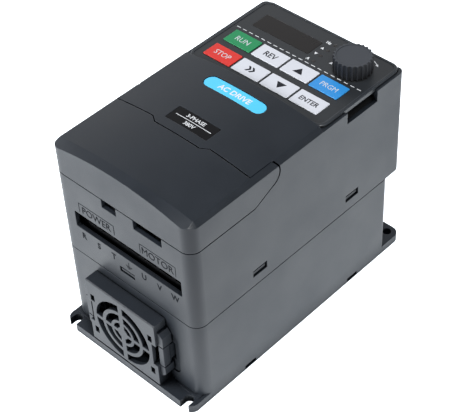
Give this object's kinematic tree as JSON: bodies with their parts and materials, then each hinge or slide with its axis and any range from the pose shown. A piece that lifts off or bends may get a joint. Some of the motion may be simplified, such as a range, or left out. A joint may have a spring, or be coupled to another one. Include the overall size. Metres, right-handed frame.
{
  "type": "variable frequency drive",
  "caption": "Compact panel-mounted motor drive: flanged housing, flip-up terminal cover, lift-off keypad with display and speed knob, slide-out cooling fan.",
  "frame": {"origin": "middle of the mounting face (bottom of the bounding box), drive lying on its back", "axes": "+Z out of the mounting face towards the keypad, +Y from the terminal and fan end to the keypad end, +X right"},
  "size_m": [0.085, 0.151, 0.1193],
  "materials": {
    "housing": "fine moulded texture",
    "keypad_panel": "fine moulded texture",
    "keypad_film": "satin printed film",
    "display_window": "smoked, polished",
    "black_plastic": "satin",
    "key_green": "satin",
    "key_red": "satin",
    "key_blue": "satin",
    "key_white": "satin",
    "circuit_board": "solder mask",
    "lamp_lens": "milky",
    "steel": "turned",
    "plated_screws": "zinc plated",
    "core_steel": "laminated, varnished windings",
    "bearing_brass": "sintered",
    "standoff_brass": "turned",
    "knob_plastic": "satin",
    "badge_blue": "satin",
    "label_film": "printed film",
    "heat_sink_aluminium": "extruded",
    "terminal_plastic": "glass-filled",
    "capacitor_sleeve": "shrink sleeve",
    "transformer_core": "ferrite and tape",
    "relay_case": "moulded",
    "choke_core": "enamelled winding"
  },
  "bodies": {
    "drive": {"base_housing": "housing", "upper_housing": "housing", "badge": "badge_blue", "rating_label": "label_film", "heat_sink": "heat_sink_aluminium", "heat_sink_screws": "steel", "power_board": "circuit_board", "control_board": "circuit_board", "board_standoffs": "standoff_brass", "board_screws": "steel", "power_module": "black_plastic", "rectifier_bridge": "black_plastic", "dc_bus_capacitors": "capacitor_sleeve", "switching_transformer": "transformer_core", "precharge_relay": "relay_case", "filter_choke": "choke_core", "board_header": "black_plastic", "power_terminal_block": "terminal_plastic", "power_terminal_screws": "plated_screws", "control_terminal_block": "terminal_plastic", "control_terminal_screws": "plated_screws"},
    "terminal_cover": {"terminal_cover": "housing"},
    "keypad": {"keypad_housing": "keypad_panel", "keypad_overlay": "keypad_film", "display_window": "display_window", "display_module": "black_plastic", "keypad_board": "circuit_board", "tact_switches": "black_plastic", "indicator_leds": "lamp_lens", "potentiometer_body": "black_plastic", "keypad_connector": "black_plastic"},
    "knob": {"potentiometer_shaft": "steel", "speed_knob": "knob_plastic"},
    "fan_module": {"fan_cover": "housing", "fan_frame": "black_plastic", "fan_bearing": "bearing_brass", "fan_stator": "core_steel"},
    "fan_rotor": {"fan_impeller": "black_plastic", "fan_shaft": "steel"},
    "fan_latch_left": {"fan_latch_left": "housing"},
    "fan_latch_right": {"fan_latch_right": "housing"},
    "key_run": {"key_run": "key_green"},
    "key_reverse": {"key_reverse": "key_white"},
    "key_up": {"key_up": "key_white"},
    "key_program": {"key_program": "key_blue"},
    "key_stop": {"key_stop": "key_red"},
    "key_shift": {"key_shift": "key_white"},
    "key_down": {"key_down": "key_white"},
    "key_enter": {"key_enter": "key_white"}
  },
  "joints": [
    {"name": "terminal_cover_hinge", "type": "hinge", "parent": "drive", "child": "terminal_cover", "pos_m": [0, -0.0196, 0.1076], "axis": [-1, 0, 0], "range_deg": [0, 80]},
    {"name": "keypad_lift", "type": "slide", "parent": "drive", "child": "keypad", "axis": [0, 0, 1], "range_m": [0, 0.014]},
    {"name": "speed_knob_turn", "type": "hinge", "parent": "keypad", "child": "knob", "pos_m": [0.0252, 0.0556, 0.11], "axis": [0, 0, 1], "range_deg": [-140, 140]},
    {"name": "fan_module_slide", "type": "slide", "parent": "drive", "child": "fan_module", "axis": [0, -1, 0], "range_m": [0, 0.025]},
    {"name": "fan_spin", "type": "hinge", "parent": "fan_module", "child": "fan_rotor", "pos_m": [0, -0.058, 0.0248], "axis": [0, 1, 0], "continuous": true},
    {"name": "fan_latch_left_squeeze", "type": "hinge", "parent": "fan_module", "child": "fan_latch_left", "pos_m": [-0.0236, -0.0698, 0.025], "axis": [0, 0, 1], "range_deg": [0, 12], "stiffness_Nm_per_rad": 0.2, "springref_deg": -2.86},
    {"name": "fan_latch_right_squeeze", "type": "hinge", "parent": "fan_module", "child": "fan_latch_right", "pos_m": [0.0236, -0.0698, 0.025], "axis": [0, 0, -1], "range_deg": [0, 12], "stiffness_Nm_per_rad": 0.2, "springref_deg": -2.86},
    {"name": "key_run_press", "type": "slide", "parent": "keypad", "child": "key_run", "axis": [0, 0, -1], "range_m": [0, 0.0004], "stiffness_N_per_m": 1500, "springref_m": -0.0002},
    {"name": "key_reverse_press", "type": "slide", "parent": "keypad", "child": "key_reverse", "axis": [0, 0, -1], "range_m": [0, 0.0004], "stiffness_N_per_m": 1500, "springref_m": -0.0002},
    {"name": "key_up_press", "type": "slide", "parent": "keypad", "child": "key_up", "axis": [0, 0, -1], "range_m": [0, 0.0004], "stiffness_N_per_m": 1500, "springref_m": -0.0002},
    {"name": "key_program_press", "type": "slide", "parent": "keypad", "child": "key_program", "axis": [0, 0, -1], "range_m": [0, 0.0004], "stiffness_N_per_m": 1500, "springref_m": -0.0002},
    {"name": "key_stop_press", "type": "slide", "parent": "keypad", "child": "key_stop", "axis": [0, 0, -1], "range_m": [0, 0.0004], "stiffness_N_per_m": 1500, "springref_m": -0.0002},
    {"name": "key_shift_press", "type": "slide", "parent": "keypad", "child": "key_shift", "axis": [0, 0, -1], "range_m": [0, 0.0004], "stiffness_N_per_m": 1500, "springref_m": -0.0002},
    {"name": "key_down_press", "type": "slide", "parent": "keypad", "child": "key_down", "axis": [0, 0, -1], "range_m": [0, 0.0004], "stiffness_N_per_m": 1500, "springref_m": -0.0002},
    {"name": "key_enter_press", "type": "slide", "parent": "keypad", "child": "key_enter", "axis": [0, 0, -1], "range_m": [0, 0.0004], "stiffness_N_per_m": 1500, "springref_m": -0.0002}
  ]
}
